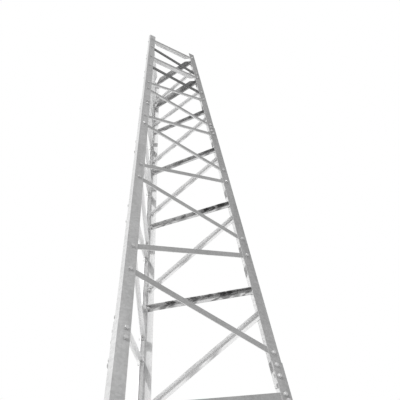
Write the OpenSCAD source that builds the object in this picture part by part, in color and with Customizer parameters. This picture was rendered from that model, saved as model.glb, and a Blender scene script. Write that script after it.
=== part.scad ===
// Three-legged self-supporting lattice tower in bolted galvanised steel.
// Three tapering sections nest in each other; every face has the same bracing,
// turned by a third of a turn. Millimetres, +Z up, standing on Z = 0.

/* [Tower] */
// Height from the ground to the top of the legs
tower_h = 6887; // [6500:1:7300]
// Face width between the leg corner lines at the ground
face_base = 1144; // [1080:1:1250]
// Face width between the leg corner lines at the top
face_top = 620; // [580:1:680]

/* [Legs] */
// Width of each leg flange
leg_flange = 64; // [58:1:72]
// Width of the flat nose between the two flanges
leg_nose = 24.5; // [22:0.5:30]
// Thickness of the leg plate
leg_t = 3.5; // [3:0.5:5]
// Height of the top of the lowest section
splice_z = 2569; // [2500:1:2640]
// Distance from one splice to the next
section_len = 2501; // [2450:1:2540]
// Length by which one section nests in the next
lap = 105; // [100:1:110]

/* [Bracing] */
// Width of the light angle bars, along the face
brace_w = 40; // [34:1:42]
// Depth of all angle bars but the rails, inward from the face
brace_d = 26; // [22:1:28]
// Thickness of the light angle bars
brace_t = 3; // [2.5:0.5:4]
// Width of the struts of the lowest section
low_strut_w = 60; // [45:1:70]
// Width of the diagonals of the lowest section
low_diag_w = 45; // [38:1:50]
// Leg width of the two level rails at the top
rail_w = 50; // [40:1:54]
// Thickness of the rails and of the lowest section's bars
heavy_t = 4; // [3:0.5:5]
// Length of a bar's end that lies on the leg flange
bar_grip = 47; // [42:0.5:48]

/* [Panels] */
// First panel of the middle section, from strut to strut
mid_panel = 746; // [720:1:770]
// First panel of the lowest section, from strut to strut
low_panel = 880; // [840:1:900]
// Growth of each panel over the one above it
panel_growth = 1.11; // [1.05:0.01:1.13]
// Rise of a section's first strut for each millimetre of clear span
strut_slope = 0.296; // [0.25:0.002:0.31]
// Growth of that rise from each strut to the next one down
slope_growth = 1.065; // [1:0.005:1.08]
// Distance from the lap of a splice down to the strut of the middle section
mid_strut_gap = 18; // [18:1:30]
// Distance from the lap of a splice down to the strut of the lowest section
low_strut_gap = 77; // [50:1:90]
// Distance from the middle section's first strut, at its lower end, to the diagonal below it
diag_drop = 166; // [155:1:185]
// Distance from a strut's higher end up to the diagonal above it
diag_lift = 180; // [165:1:195]
// Distance from the upper splice up to the lowest diagonal of the section above
splice_lift = 48; // [44:1:56]
// Distance from the top of the legs down to the top rail
rail_drop = 138; // [120:1:180]
// Distance between the two level rails
rail_pitch = 570; // [550:1:600]
// Distance from a rail down to the left end of the diagonal below it
rail_diag_drop = 271; // [250:1:300]
// Distance from the second rail up to the right end of the diagonal above it
rail_diag_lift = 120; // [100:1:150]
// Distance from the second rail down to the strut below it
upper_panel = 552; // [530:1:575]

/* [Feet] */
// Distance from a leg's corner line in to the middle of its base plate
foot_inset = 46; // [36:1:56]
// Side of the square base plate
plate_w = 200; // [190:1:230]
// Thickness of the base plate
plate_t = 16; // [12:1:25]
// Diameter of the circle of anchor holes
anchor_pcd = 198; // [190:1:210]
// Diameter of an anchor hole
anchor_d = 22; // [18:1:26]

/* [Hidden] */
$fn = 48;

// The three corner lines and the three face planes meet in one apex.
apex_z = tower_h * face_base / (face_base - face_top);
corner_r = face_base / sqrt(3);
lean = atan(corner_r / apex_z);
face_tilt = atan(corner_r / 2 / apex_z);
flange_a = atan(tan(30) * sqrt(1 + pow(corner_r / apex_z, 2)));
upper_splice_z = splice_z + section_len;

// Each section nests in the one below, its faces one plate thickness further in.
low_off = -leg_t;
mid_off = 0;
top_off = leg_t;

// Foot radius, and the shift that centres the outline of the feet on Y = 0
foot_r = corner_r - foot_inset;
foot_half = plate_w / 2;
y_shift = -((foot_r + foot_half) - (foot_r / 2 + foot_half * (cos(30) + sin(30)))) / 2;

// Width of the nose of a section whose faces lie off inside the corner lines
function nose_w(off) = leg_nose - 2 * off * tan(30);
// Half the distance between the flange edges of two legs at height z
function edge_x(z, off) =
    face_base / 2 * (1 - z / apex_z) - off * tan(60) - nose_w(off) - leg_flange;
// Height of the lower, left end of a section's strut i from its higher, right end
function strut_left(z, off, i) = z - strut_slope * pow(slope_growth, i) * 2 * edge_x(z, off);
// Drop from strut i to its diagonal, which grows with the panels of a section
function drop(i) = diag_drop * pow(panel_growth, i);
// The lowest diagonal's lift grows with the panels too
mid_splice_lift = splice_lift * pow(panel_growth, 3);

// Right ends of the struts, from the top of each section down
function strut_z(top_z, w, gap, panel, i) =
    i == 0 ? top_z - lap - gap - w / 2 : strut_z(top_z, w, gap, panel, i - 1) - panel * pow(panel_growth, i - 1);
function mid_strut_z(i) = strut_z(upper_splice_z, brace_w, mid_strut_gap, mid_panel, i);
function low_strut_z(i) = strut_z(splice_z, low_strut_w, low_strut_gap, low_panel, i);
rail_1_z = tower_h - rail_drop;
rail_2_z = rail_1_z - rail_pitch;
upper_strut_z = rail_2_z - upper_panel;

// A 60 degree leg profile with a flat nose, its corner line at the origin
module leg_profile(off) {
    h = flange_a;
    half_nose = nose_w(off) / 2;
    c = -off / sin(h);
    n = half_nose / tan(h);
    f = half_nose / sin(h) + leg_flange;
    ni = n + leg_t - leg_t / sin(h);
    outer = [[c - f * cos(h), f * sin(h)], [c - n, half_nose]];
    inner = [
        [c - n - leg_t, ni * tan(h)],
        [c - f * cos(h) - leg_t * sin(h), f * sin(h) - leg_t * cos(h)]
    ];
    polygon([
        outer[0], outer[1],
        [outer[1][0], -outer[1][1]], [outer[0][0], -outer[0][1]],
        [inner[1][0], -inner[1][1]], [inner[0][0], -inner[0][1]],
        inner[0], inner[1]
    ]);
}

// One length of leg along its leaning corner line
module leg_length(off, z0, z1) {
    translate([corner_r, 0, 0]) rotate([0, -lean, 0])
        translate([0, 0, z0 / cos(lean)])
            linear_extrude((z1 - z0) / cos(lean)) leg_profile(off);
}

// The legs stand at these turns about the tower's axis
module at_leg(which) {
    turn = which == "left" ? 210 : which == "right" ? 330 : 90;
    translate([0, y_shift, 0]) rotate([0, 0, turn]) children();
}

// A face's frame: X along the face, Y inward from the face plane, Z up the slope
module at_face(which) {
    turn = which == "front" ? 0 : which == "right" ? 120 : 240;
    translate([0, y_shift, 0]) rotate([0, 0, turn])
        translate([0, -corner_r / 2, 0]) rotate([-face_tilt, 0, 0]) children();
}

// An angle bar behind the leg flanges: one leg flat on them, one inward along the top.
// zl and zr are the heights at which its middle line meets the flange edges, w is its
// width, d its depth, and mitre the turn of its end cuts from square to the face.
module bar(off, zl, zr, w, d, t, mitre = 0) {
    start = [-edge_x(zl, off), zl / cos(face_tilt)];
    end = [edge_x(zr, off), zr / cos(face_tilt)];
    run = norm(end - start);
    slope = atan2(end[1] - start[1], end[0] - start[0]);
    leg_lean = atan(face_base / 2 / apex_z * cos(face_tilt));
    block = 4 * (w + d);
    section = [[0, -w / 2], [t, -w / 2], [t, w / 2 - t], [d, w / 2 - t], [d, w / 2], [0, w / 2]];
    translate([(start[0] + end[0]) / 2, off + leg_t, (start[1] + end[1]) / 2])
        rotate([0, -slope, 0]) difference() {
            translate([-run / 2 - 2 * bar_grip, 0, 0]) rotate([90, 0, 90])
                linear_extrude(run + 4 * bar_grip) polygon(section);
            // The ends are cut parallel to the legs
            for (side = [-1, 1]) translate([side * run / 2, 0, 0]) rotate([0, slope - side * leg_lean, 0])
                translate([side * bar_grip, 0, 0]) rotate([0, 0, side * mitre])
                    translate([side > 0 ? 0 : -block, -w, -block]) cube([block, block, 2 * block]);
        }
}

module base_plate(which) {
    color("lightgray") at_leg(which) translate([foot_r, 0, 0]) difference() {
        translate([-plate_w / 2, -plate_w / 2, 0]) cube([plate_w, plate_w, plate_t]);
        for (a = [45:90:315])
            rotate([0, 0, a]) translate([anchor_pcd / 2, 0, -1]) cylinder(h = plate_t + 2, d = anchor_d);
    }
}

module leg_lower(which) {
    color("silver") at_leg(which) difference() {
        leg_length(low_off, -plate_t, splice_z);
        translate([0, -corner_r, plate_t - 2 * corner_r]) cube(2 * corner_r);
    }
}

module leg_middle(which) {
    color("silver") at_leg(which) leg_length(mid_off, splice_z - lap, upper_splice_z);
}

module leg_upper(which) {
    color("silver") at_leg(which) leg_length(top_off, upper_splice_z - lap, tower_h);
}

module lower_struts(which) {
    color("darkgray") at_face(which) for (i = [0:2])
        bar(low_off, strut_left(low_strut_z(i), low_off, i), low_strut_z(i), low_strut_w, brace_d, heavy_t);
}

module lower_diagonals(which) {
    color("darkgray") at_face(which) for (i = [0:1])
        bar(low_off, strut_left(low_strut_z(i), low_off, i) - drop(i), low_strut_z(i + 1) + diag_lift,
            low_diag_w, brace_d, heavy_t);
}

module middle_struts(which) {
    color("darkgray") at_face(which) for (i = [0:2])
        bar(mid_off, strut_left(mid_strut_z(i), mid_off, i), mid_strut_z(i), brace_w, brace_d, brace_t);
}

module middle_diagonals(which) {
    color("darkgray") at_face(which) for (i = [0:2])
        bar(mid_off, strut_left(mid_strut_z(i), mid_off, i) - drop(i),
            i < 2 ? mid_strut_z(i + 1) + diag_lift : splice_z + mid_splice_lift, brace_w, brace_d, brace_t);
}

module upper_strut(which) {
    color("darkgray") at_face(which)
        bar(top_off, strut_left(upper_strut_z, top_off, 0), upper_strut_z, brace_w, brace_d, brace_t);
}

module upper_diagonals(which) {
    color("darkgray") at_face(which) {
        bar(top_off, rail_1_z - rail_diag_drop, rail_2_z + rail_diag_lift, brace_w, brace_d, brace_t);
        bar(top_off, rail_2_z - rail_diag_drop, upper_strut_z + diag_lift, brace_w, brace_d, brace_t);
        bar(top_off, strut_left(upper_strut_z, top_off, 0) - drop(0), upper_splice_z + splice_lift,
            brace_w, brace_d, brace_t);
    }
}

module top_rails(which) {
    color("darkgray") at_face(which)
        for (z = [rail_1_z, rail_2_z]) bar(top_off, z, z, rail_w, rail_w, heavy_t, mitre = 60);
}

base_plate("left");  // base_plate_left
base_plate("right");  // base_plate_right
base_plate("back");  // base_plate_back
leg_lower("left");  // leg_left_lower
leg_lower("right");  // leg_right_lower
leg_lower("back");  // leg_back_lower
leg_middle("left");  // leg_left_middle
leg_middle("right");  // leg_right_middle
leg_middle("back");  // leg_back_middle
leg_upper("left");  // leg_left_upper
leg_upper("right");  // leg_right_upper
leg_upper("back");  // leg_back_upper
lower_struts("front");  // front_lower_struts
lower_struts("right");  // right_lower_struts
lower_struts("left");  // left_lower_struts
lower_diagonals("front");  // front_lower_diagonals
lower_diagonals("right");  // right_lower_diagonals
lower_diagonals("left");  // left_lower_diagonals
middle_struts("front");  // front_middle_struts
middle_struts("right");  // right_middle_struts
middle_struts("left");  // left_middle_struts
middle_diagonals("front");  // front_middle_diagonals
middle_diagonals("right");  // right_middle_diagonals
middle_diagonals("left");  // left_middle_diagonals
upper_strut("front");  // front_upper_strut
upper_strut("right");  // right_upper_strut
upper_strut("left");  // left_upper_strut
upper_diagonals("front");  // front_upper_diagonals
upper_diagonals("right");  // right_upper_diagonals
upper_diagonals("left");  // left_upper_diagonals
top_rails("front");  // front_top_rails
top_rails("right");  // right_top_rails
top_rails("left");  // left_top_rails
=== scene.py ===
import math

import bpy
from mathutils import Matrix, Vector


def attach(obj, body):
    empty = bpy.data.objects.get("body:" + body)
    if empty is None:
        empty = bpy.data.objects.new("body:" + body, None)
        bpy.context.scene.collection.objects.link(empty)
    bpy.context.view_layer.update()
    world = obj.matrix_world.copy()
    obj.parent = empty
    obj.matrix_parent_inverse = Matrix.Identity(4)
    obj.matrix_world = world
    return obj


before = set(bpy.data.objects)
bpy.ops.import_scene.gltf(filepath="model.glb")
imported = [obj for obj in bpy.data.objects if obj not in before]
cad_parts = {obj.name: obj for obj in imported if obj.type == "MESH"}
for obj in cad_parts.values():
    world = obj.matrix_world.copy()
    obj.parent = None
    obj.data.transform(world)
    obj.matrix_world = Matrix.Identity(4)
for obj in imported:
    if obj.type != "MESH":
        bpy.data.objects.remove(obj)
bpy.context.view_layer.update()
bpy.ops.object.select_all(action="DESELECT")


# Legs. Each leg is folded from galvanised plate into two flanges and a flat nose, and
# is bolted up from three lengths, the upper one nested in the one below. Their faces turned
# into the tower and their noses are painted lighter, as painted light; the right leg has
# darker greys, painted shade, and the back leg more painted light on its inner faces.
tower_h, face_base, face_top = 6.887, 1.144, 0.62
leg_flange, leg_nose, leg_t = 0.064, 0.0245, 0.0035
splice_z, section_len, lap = 2.569, 2.501, 0.105
fold_half = math.radians(30)
apex_z = tower_h * face_base / (face_base - face_top)
corner_r = face_base / math.sqrt(3)
foot_inset, foot_half = 0.046, 0.1
foot_r = corner_r - foot_inset
back_reach = foot_r + foot_half
front_reach = foot_r / 2 + foot_half * (math.cos(fold_half) + math.sin(fold_half))
axis_y = (front_reach - back_reach) / 2


class Wire:
    """A shader socket that takes part in sums, each of which adds its Math node."""

    def __init__(self, tree, socket):
        self.tree = tree
        self.socket = socket

    def node(self, kind, settings=None, output=0, **inputs):
        """Any other node: its settings, then its inputs by name, or by number as in _0."""
        made = self.tree.nodes.new(kind)
        for key, value in (settings or {}).items():
            setattr(made, key, value)
        for key, value in inputs.items():
            slot = made.inputs[int(key[1:])] if key[0] == "_" else made.inputs[key.replace("_", " ")]
            if isinstance(value, Wire):
                self.tree.links.new(value.socket, slot)
            else:
                slot.default_value = value
        return Wire(self.tree, made.outputs[output])

    def sum(self, operation, a, b):
        return self.node("ShaderNodeMath", {"operation": operation}, _0=a, _1=b)

    def __add__(self, other):
        return self.sum("ADD", self, other)

    __radd__ = __add__

    def __sub__(self, other):
        return self.sum("SUBTRACT", self, other)

    def __rsub__(self, other):
        return self.sum("SUBTRACT", other, self)

    def __mul__(self, other):
        return self.sum("MULTIPLY", self, other)

    __rmul__ = __mul__


def ramp(value, start, stop, low=0.0, high=1.0):
    """Low up to start, high from stop on, and an even slope between them."""
    return value.node("ShaderNodeMapRange", _0=value, _1=start, _2=stop, _3=low, _4=high)


def mottle(place, scale, detail, roughness):
    """Cloudy noise with about scale lumps to a metre."""
    return place.node("ShaderNodeTexNoise", Vector=place, Scale=scale, Detail=detail, Roughness=roughness)


def galvanised(
    name,
    bright,
    dull,
    roughness,
    spangle,
    inner_light=1.6,
    under_light=2.2,
    nose=1.4,
    metal=0.3,
    stain=1.0,
    head_shade=1.0,
    blot=1.0,
):
    """Zinc-coated steel: bright and dull are the two greys of its outward faces, spangle its
    crystals to a metre. Inner, under and nose are painted light: how much lighter the faces
    turned into the tower, the undersides and the noses are painted. The last three arguments
    say what is left: of that painted light below towards the right leg, which paints shade
    there; of the colour at the tower's head, painted shade; and of the colour in cloudy dark
    smears on the faces turned into the tower."""
    finish = bpy.data.materials.new(name)
    finish.use_nodes = True
    tree = finish.node_tree
    shader = tree.nodes["Principled BSDF"]
    coordinates = tree.nodes.new("ShaderNodeTexCoord")
    place = Wire(tree, coordinates.outputs["Object"])
    facing = Wire(tree, coordinates.outputs["Normal"])

    # Crystals, streaks along the tower and cloudy patches mix the two greys.
    streak_stretch, streak_share, wear_share = 0.16, 0.5, 0.55
    wear_from, wear_full = 0.36, 0.64
    cells = place.node(
        "ShaderNodeTexVoronoi", {"feature": "F1"}, output="Color", Vector=place, Scale=spangle
    )
    crystal = place.node("ShaderNodeSeparateColor", _0=cells)
    drawn_out = place.node("ShaderNodeMapping", Vector=place, Scale=(1.0, 1.0, streak_stretch))
    streak = mottle(drawn_out, scale=16.0, detail=4.0, roughness=0.6)
    patch = mottle(place, scale=5.0, detail=5.0, roughness=0.62)
    wear = ramp(streak * streak_share + patch * (1.0 - streak_share), wear_from, wear_full)
    shade = wear * wear_share + crystal * (1.0 - wear_share)
    colour = place.node(
        "ShaderNodeMix",
        {"data_type": "RGBA"},
        output=2,
        _0=shade,
        _6=(dull, dull, dull, 1.0),
        _7=(bright, bright, bright, 1.0),
    )

    # A face's painted light and shade follow from how far it looks up, out or down, and where
    # it stands: faces turned into the tower, undersides and noses are painted lighter, while the
    # lift below is cut towards the right leg and all is darkened at the tower's head, both painted
    # shade. Outward faces get darker towards the top, and inward faces darker in cloudy smears.
    looks_up, looks_half_up = -0.7, -0.45
    inside, outside = 0.12, 0.16
    side_on, face_down = 0.5, 0.75
    flange_out, nose_out = 0.3, 0.34
    fade_from, fade_to, fade_left = 2.0, 6.9, 0.68
    right_shade_from, right_shade_full, right_shade_ragged = 0.42, 0.68, 0.7
    head_shade_from, head_shade_full = 5.45, 5.75
    smear_level, smear_rise, smear_from, smear_full = 0.6, 2.5, 0.52, 0.59
    thin_from, thin_to, thin_left = 4.2, 4.7, 0.35
    from_axis = place.node(
        "ShaderNodeVectorMath",
        {"operation": "MULTIPLY_ADD"},
        _0=place,
        _1=(1.0, 1.0, 0.0),
        _2=(0.0, -axis_y, 0.0),
    )
    outward = place.node(
        "ShaderNodeVectorMath", {"operation": "DOT_PRODUCT"}, output="Value", _0=facing, _1=from_axis
    )
    downward = place.node("ShaderNodeSeparateXYZ", output="Z", _0=facing) * -1.0
    height = place.node("ShaderNodeSeparateXYZ", output="Z", _0=place)
    across = place.node("ShaderNodeSeparateXYZ", output="X", _0=place)
    # Faces that don't look up and are turned into the tower: these get painted light.
    facing_in = ramp(downward, looks_up, looks_half_up) * ramp(outward, inside, outside, 1.0, 0.0)
    below = ramp(downward, side_on, face_down)
    at_nose = ramp(outward, flange_out, nose_out)
    # Outward faces get darker towards the top.
    fade = ramp(height, fade_from, fade_to, 1.0, fade_left)
    # Painted shade below: towards the right leg, with a ragged edge, the painted light below is cut to a
    # share of itself.
    ragged = across + mottle(place, scale=14.0, detail=3.0, roughness=0.6) * right_shade_ragged
    stained = ramp(ragged, right_shade_from, right_shade_full, under_light, under_light * stain)
    # Painted shade at the tower's head.
    head_shaded = ramp(height, head_shade_from, head_shade_full, 1.0, head_shade)
    level_way = place.node("ShaderNodeMapping", Vector=place, Scale=(smear_level, smear_level, smear_rise))
    smear = mottle(level_way, scale=14.0, detail=3.0, roughness=0.6)
    thinned = ramp(height, thin_from, thin_to, 1.0, thin_left)
    # Faces turned into the tower are darker in cloudy smears, thinning out higher up.
    blotted = 1.0 - ramp(smear, smear_from, smear_full) * facing_in * thinned * (1.0 - blot)
    # Painted light on inward faces, undersides and noses, with painted shade below towards the right leg.
    lift = fade + facing_in * (inner_light - fade) + below * (stained - inner_light) + at_nose * (nose - 1.0)
    colour = place.node(
        "ShaderNodeMix",
        {"data_type": "RGBA", "blend_type": "MULTIPLY"},
        output=2,
        _0=1.0,
        _6=colour,
        _7=lift * head_shaded * blotted,
    )
    tree.links.new(colour.socket, shader.inputs["Base Color"])

    # Bright crystals and clean patches are smoother, and the coat is finely grained.
    crystal_gloss, clean_gloss = 0.1, 0.14
    rough = roughness + (crystal_gloss + clean_gloss) / 2 - (crystal * crystal_gloss + wear * clean_gloss)
    tree.links.new(rough.socket, shader.inputs["Roughness"])
    grain_share = 0.6
    grain = mottle(place, scale=420.0, detail=3.0, roughness=0.55)
    coat = grain * grain_share + crystal * (1.0 - grain_share)
    relief = place.node("ShaderNodeBump", Strength=0.1, Distance=0.0006, Height=coat)
    tree.links.new(relief.socket, shader.inputs["Normal"])
    shader.inputs["Metallic"].default_value = metal
    return finish


def dress(piece, finish):
    """Gives a piece one finish all over."""
    piece.data.materials.clear()
    piece.data.materials.append(finish)


# All three legs have painted light on their inner faces and a painted highlight on their noses; the right
# leg's copy has darker greys, painted shade.
leg_finish = {
    "left": galvanised("leg_zinc", bright=0.46, dull=0.31, roughness=0.45, spangle=85.0, nose=1.5),
    "right": galvanised("dull_leg_zinc", bright=0.37, dull=0.235, roughness=0.5, spangle=85.0, inner_light=1.75),
    "back": galvanised(
        "lit_back_leg_zinc", bright=0.47, dull=0.34, roughness=0.4, spangle=85.0, inner_light=1.85, metal=0.6
    ),
}
for name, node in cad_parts.items():
    if name.startswith("leg_"):
        dress(node, leg_finish[name.split("_")[1]])


# Base plates. Thick square plates under the legs, drilled for four anchor bolts each.
# They went into the zinc bath with the legs and came out a little duller.
# Their undersides are painted lighter, as painted light.
plate_zinc = galvanised(
    "plate_zinc", bright=0.46, dull=0.3, roughness=0.58, spangle=60.0, inner_light=1.0, nose=1.0
)
for name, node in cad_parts.items():
    if name.startswith("base_plate_"):
        dress(node, plate_zinc)


# Bracing. Struts, diagonals and rails are angle bars, cut to length and laid flat on
# the inside of the leg flanges, with their other leg pointing into the tower. Their inner
# faces and undersides are painted lighter, as painted light, and the left face's bars and the
# right face's diagonals have lighter greys as well, painted light. The right face's struts and
# rails have painted shade below towards the right leg and at the tower's head, and darker
# cloudy smears on their inward faces; the front's top diagonals have painted shade at the
# tower's head.
brace_zinc = galvanised(
    "brace_zinc", bright=0.35, dull=0.25, roughness=0.42, spangle=110.0, inner_light=1.9, under_light=2.8
)
# Lighter greys for the left face's bars, painted light.
pale_zinc = galvanised(
    "pale_zinc", bright=0.5, dull=0.44, roughness=0.36, spangle=110.0, inner_light=1.95, under_light=1.95, metal=0.5
)
# Lighter greys for the right face's diagonals, painted light.
lit_right_zinc = galvanised(
    "lit_right_zinc", bright=0.5, dull=0.44, roughness=0.36, spangle=110.0, inner_light=1.35, under_light=1.98, metal=0.15
)
# The right face's struts and rails: painted shade below towards the right leg and at the tower's head.
stained_zinc = galvanised(
    "stained_zinc",
    bright=0.42,
    dull=0.3,
    roughness=0.45,
    spangle=110.0,
    inner_light=1.25,
    under_light=1.8,
    stain=0.24,
    head_shade=0.85,
    blot=0.3,
)
# The front's top diagonals: painted shade at the tower's head.
shaded_head_zinc = galvanised(
    "shaded_head_zinc", bright=0.35, dull=0.25, roughness=0.5, spangle=110.0, inner_light=1.9, under_light=2.8, head_shade=0.25
)
for name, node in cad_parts.items():
    if name.endswith(("_struts", "_strut", "_diagonals", "_rails")):
        finish = brace_zinc
        if name.startswith("left_"):
            finish = pale_zinc
        elif name.startswith("right_"):
            finish = lit_right_zinc if name.endswith("_diagonals") else stained_zinc
        elif name == "front_upper_diagonals":
            finish = shaded_head_zinc
        dress(node, finish)


# Bracing bolts. One M12 bolt, or two on the wide low struts, holds each bar end to the
# middle of its leg flange: a hex head and washer outside, a nut and the end of the thread
# inside. They are bright zinc.
# Their inward faces and undersides are painted a little lighter, as painted light.
bolt_zinc = galvanised(
    "bolt_zinc", bright=0.5, dull=0.42, roughness=0.38, spangle=240.0, inner_light=1.3, under_light=1.3, nose=1.0
)
washer_sides, washer_r, washer_t = 16, 0.0125, 0.0025
hex_r, head_t, nut_t, hex_chamfer = 0.0109, 0.0075, 0.01, 0.0016
thread_sides, thread_r, thread_len, thread_chamfer = 10, 0.006, 0.006, 0.001
spanner_turn = math.radians(37)
pair_gap = 0.034
bar_t = {"lower": 0.004, "middle": 0.003, "upper": 0.003}
offset = {"lower": -leg_t, "middle": 0.0, "upper": leg_t}
turns = {"front": 0.0, "right": 120.0, "left": 240.0}
face_tilt = math.atan(corner_r / 2 / apex_z)


def nose_width(off):
    """Width of the nose of a leg whose faces lie off inside the corner lines."""
    return leg_nose - 2 * off * math.tan(fold_half)


def clear_half(z, off):
    """Half the clear span between two legs' flange edges."""
    return face_base / 2 * (1 - z / apex_z) - off * math.sqrt(3) - nose_width(off) - leg_flange


def on_face(face, x, inward, z):
    """The frame of a bolt on a face, its head looking out of the face along -Y."""
    stand = Matrix.Translation((0, axis_y, 0)) @ Matrix.Rotation(math.radians(turns[face]), 4, "Z")
    lean = Matrix.Translation((0, -corner_r / 2, 0)) @ Matrix.Rotation(-face_tilt, 4, "X")
    return stand @ lean @ Matrix.Translation((x, inward, z / math.cos(face_tilt)))


def prism(sides, radius, depth, y, chamfer=0.0):
    """A nut, head, washer or thread end: a prism along Y, its outer rim chamfered."""
    bpy.ops.object.select_all(action="DESELECT")
    bpy.ops.mesh.primitive_cylinder_add(
        vertices=sides, radius=radius, depth=depth, location=(0, y, 0), rotation=(math.pi / 2, 0, 0)
    )
    piece = bpy.context.object
    bpy.ops.object.transform_apply(location=True, rotation=True, scale=True)
    if chamfer:
        outer, hair = y + math.copysign(depth / 2, y), 1e-5
        bpy.ops.object.mode_set(mode="EDIT")
        bpy.ops.mesh.select_all(action="DESELECT")
        bpy.ops.object.mode_set(mode="OBJECT")
        for face in piece.data.polygons:
            face.select = abs(face.center.y - outer) < hair
        bpy.ops.object.mode_set(mode="EDIT")
        bpy.ops.mesh.bevel(offset=chamfer, segments=1, affect="EDGES")
        bpy.ops.object.mode_set(mode="OBJECT")
    return piece


def bolt_set(name, grip, places, finish):
    """Bolts modelled once with this grip, set at each place, and joined in one mesh."""
    nut_end = grip + washer_t + nut_t
    washer_out = prism(washer_sides, washer_r, washer_t, -washer_t / 2)
    head = prism(6, hex_r, head_t, -washer_t - head_t / 2, hex_chamfer)
    washer_in = prism(washer_sides, washer_r, washer_t, grip + washer_t / 2)
    nut = prism(6, hex_r, nut_t, nut_end - nut_t / 2, hex_chamfer)
    thread = prism(thread_sides, thread_r, thread_len, nut_end + thread_len / 2, thread_chamfer)
    bpy.ops.object.select_all(action="DESELECT")
    for part in (washer_out, head, washer_in, nut, thread):
        part.select_set(True)
    bpy.context.view_layer.objects.active = washer_out
    bpy.ops.object.join()
    bolt = bpy.context.object
    copies = []
    for count, place in enumerate(places):
        copy = bolt.copy()
        copy.data = bolt.data.copy()
        copy.matrix_world = place @ Matrix.Rotation(spanner_turn * count, 4, "Y")
        bpy.context.collection.objects.link(copy)
        copies.append(copy)
    bpy.data.objects.remove(bolt)
    bpy.ops.object.select_all(action="DESELECT")
    for copy in copies:
        copy.select_set(True)
    bpy.context.view_layer.objects.active = copies[0]
    bpy.ops.object.join()
    bpy.ops.object.transform_apply(location=True, rotation=True, scale=True)
    joined = bpy.context.object
    joined.name = name
    dress(joined, finish)
    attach(joined, "root")


strut_slope, slope_growth, panel_growth = 0.296, 1.065, 1.11
diag_drop, diag_lift, splice_lift = 0.166, 0.18, 0.048
rail_drop, rail_pitch, rail_diag_drop, rail_diag_lift = 0.138, 0.57, 0.271, 0.12
upper_panel = 0.552
middle_gap, middle_width, middle_panel = 0.018, 0.04, 0.746
lower_gap, lower_width, lower_panel = 0.077, 0.06, 0.88


def strut_heights(top, gap, width, panel):
    """The right, upper ends of a section's three struts, counted down from its top."""
    first = top - lap - gap - width / 2
    return [first, first - panel, first - panel - panel * panel_growth]


def low_end(z, part, i):
    """The lower, left end of a section's strut i."""
    return z - strut_slope * slope_growth**i * 2 * clear_half(z, offset[part])


def section_ends(part, struts, stops):
    """Left and right heights of a section's struts, then of the diagonals that run down
    from them to a little above the stops."""
    bars = [(low_end(z, part, i), z) for i, z in enumerate(struts)]
    for i, (z, stop) in enumerate(zip(struts, stops)):
        bars.append((low_end(z, part, i) - diag_drop * panel_growth**i, stop + diag_lift))
    return bars


lower_struts = strut_heights(splice_z, lower_gap, lower_width, lower_panel)
middle_struts = strut_heights(splice_z + section_len, middle_gap, middle_width, middle_panel)
last_stop = splice_z + splice_lift * panel_growth ** len(middle_struts) - diag_lift
rail_1 = tower_h - rail_drop
rail_2 = rail_1 - rail_pitch
upper_strut = rail_2 - upper_panel
upper_strut_low = low_end(upper_strut, "upper", 0)
ends = {
    "lower": section_ends("lower", lower_struts, lower_struts[1:]),
    "middle": section_ends("middle", middle_struts, middle_struts[1:] + [last_stop]),
    "upper": [
        (rail_1, rail_1),
        (rail_2, rail_2),
        (upper_strut_low, upper_strut),
        (rail_1 - rail_diag_drop, rail_2 + rail_diag_lift),
        (rail_2 - rail_diag_drop, upper_strut + diag_lift),
        (upper_strut_low - diag_drop, splice_z + section_len + splice_lift),
    ],
}
for part, bars in ends.items():
    off = offset[part]
    for face in turns:
        spots = []
        for count, (left_z, right_z) in enumerate(bars):
            start = Vector((-clear_half(left_z, off), left_z))
            end = Vector((clear_half(right_z, off), right_z))
            along = (end - start).normalized()
            across = Vector((-along.y, along.x))
            wide = part == "lower" and count < len(lower_struts)
            for side in (-pair_gap / 2, pair_gap / 2) if wide else (0.0,):
                for spot in (start - along * leg_flange / 2, end + along * leg_flange / 2):
                    spots.append(on_face(face, spot.x + across.x * side, off, spot.y + across.y * side))
        bolt_set(f"{face}_{part}_bolts", leg_t + bar_t[part], spots, bolt_zinc)


# Splice bolts. Two bolts through each flange clamp the nested leg lengths together,
# close under the end of the lower length. Those of a leg's two flanges are staggered.
splice_drops = ((-1, 0.036), (-1, 0.092), (1, 0.024), (1, 0.087))
splice_share = 0.34
for face in turns:
    for part, top in (("lower", splice_z), ("middle", splice_z + section_len)):
        off = offset[part]
        spots = []
        for side, drop in splice_drops:
            x = clear_half(top - drop, off) + leg_flange * splice_share
            spots.append(on_face(face, side * x, off, top - drop))
        bolt_set(f"{face}_{part}_splice_bolts", 2 * leg_t, spots, bolt_zinc)


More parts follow.
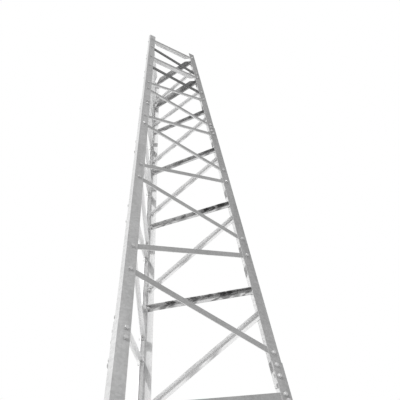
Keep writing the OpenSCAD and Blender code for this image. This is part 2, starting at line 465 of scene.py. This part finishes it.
# Foot welds. A bead of weld metal runs round the outside of each leg where it stands on
# its base plate. It was laid before the zinc bath, so it is galvanised like the rest.
# Its undersides are painted lighter, as painted light.
weld_zinc = galvanised(
    "weld_zinc", bright=0.44, dull=0.34, roughness=0.6, spangle=150.0, inner_light=1.0, nose=1.0
)
plate_top, bead_rise, bead_r, bead_cuts = 0.016, 0.001, 0.0045, 3
leg_turns = {"left": 210.0, "right": 330.0, "back": 90.0}
for leg, turn in leg_turns.items():
    corner = corner_r * (1 - plate_top / apex_z) + 2 * leg_t
    nose = nose_width(-leg_t)
    nose_x = corner - nose / 2 / math.tan(fold_half)
    tip = nose + leg_flange
    tip_x, tip_y = corner - tip * math.cos(fold_half), tip * math.sin(fold_half)
    run = [(tip_x, tip_y), (nose_x, nose / 2), (nose_x, -nose / 2), (tip_x, -tip_y)]
    stand = Matrix.Translation((0, axis_y, 0)) @ Matrix.Rotation(math.radians(turn), 4, "Z")
    points = [stand @ Vector((x, y, plate_top + bead_rise)) for x, y in run]
    bpy.ops.object.select_all(action="DESELECT")
    bpy.ops.mesh.primitive_plane_add(size=0.01, location=(0, 0, 0))
    bead = bpy.context.object
    bpy.ops.object.mode_set(mode="EDIT")
    bpy.ops.mesh.merge(type="CENTER")
    bpy.ops.transform.translate(value=points[0])
    for here, there in zip(points, points[1:]):
        bpy.ops.mesh.extrude_region_move(TRANSFORM_OT_translate={"value": there - here})
    bpy.ops.mesh.select_all(action="SELECT")
    bpy.ops.mesh.subdivide(number_cuts=bead_cuts)
    bpy.ops.object.mode_set(mode="OBJECT")
    bead.modifiers.new("bead", "SKIN")
    for spot in bead.data.skin_vertices[0].data:
        spot.radius = (bead_r, bead_r)
    soft = bead.modifiers.new("soft", "SUBSURF")
    soft.levels = soft.render_levels = 1
    bpy.ops.object.modifier_apply(modifier="bead")
    bpy.ops.object.modifier_apply(modifier="soft")
    bead.name = f"foot_weld_{leg}"
    dress(bead, weld_zinc)
    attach(bead, "root")


# Stage. A wide pale floor under the feet, white all round, one soft key light from the
# left and an even light from all sides.
floor_size, floor_drop, floor_grey = 80.0, 0.0005, 0.9
bpy.ops.object.select_all(action="DESELECT")
bpy.ops.mesh.primitive_plane_add(size=floor_size, location=(0, 0, -floor_drop))
floor = bpy.context.object
floor.name = "floor"
pale = bpy.data.materials.new("pale_floor")
pale.use_nodes = True
shader = pale.node_tree.nodes["Principled BSDF"]
shader.inputs["Roughness"].default_value = 0.9
shader.inputs["Base Color"].default_value = (floor_grey, floor_grey, floor_grey, 1.0)
floor.data.materials.append(pale)

room_light, white = 0.62, 1.0
world = bpy.data.worlds.new("white_room")
bpy.context.scene.world = world
world.use_nodes = True
tree = world.node_tree
backdrop = tree.nodes["Background"]
backdrop.inputs["Color"].default_value = (white, white, white, 1.0)
ray = tree.nodes.new("ShaderNodeLightPath")
seen = Wire(tree, ray.outputs["Is Camera Ray"]) + Wire(tree, ray.outputs["Is Glossy Ray"])
seen = seen + Wire(tree, ray.outputs["Is Transmission Ray"])
strength = seen.node("ShaderNodeMath", {"operation": "MAXIMUM"}, _0=seen, _1=room_light)
strength = seen.node("ShaderNodeMath", {"operation": "MINIMUM"}, _0=strength, _1=white)
tree.links.new(strength.socket, backdrop.inputs["Strength"])

sun_turn, sun_rise = math.radians(216), math.radians(36)
bpy.ops.object.light_add(type="SUN", location=(-4, -1, 8))
key = bpy.context.object
key.name = "key_light"
key.data.energy = 2.2
key.data.angle = math.radians(4)
sun_out = math.cos(sun_rise)
toward = Vector((math.cos(sun_turn) * sun_out, math.sin(sun_turn) * sun_out, math.sin(sun_rise)))
key.rotation_euler = toward.to_track_quat("Z", "Y").to_euler()

bpy.context.scene.view_settings.view_transform = "Standard"


# Camera. It stands left of the front face, about a metre above the feet, and looks
# steeply up the tower, tipped a little to one side.
camera_x, camera_y, camera_z = -1.0496, -1.9976, 1.0826
yaw, pitch, roll = math.radians(32.96), math.radians(52.46), math.radians(6.73)
film_width, focal_px, picture_px = 36.0, 493.8, 400.0
ahead = Vector((math.sin(yaw) * math.cos(pitch), math.cos(yaw) * math.cos(pitch), math.sin(pitch)))
level = Vector((math.cos(yaw), -math.sin(yaw), 0.0))
plumb = ahead.cross(level)
right = level * math.cos(roll) + plumb * math.sin(roll)
down = plumb * math.cos(roll) - level * math.sin(roll)
bpy.ops.object.camera_add(location=(camera_x, camera_y + axis_y, camera_z))
camera = bpy.context.object
camera.name = "camera"
camera.rotation_euler = Matrix((right, -down, -ahead)).transposed().to_euler()
camera.data.sensor_width = film_width
camera.data.lens = film_width * focal_px / picture_px
bpy.context.scene.camera = camera
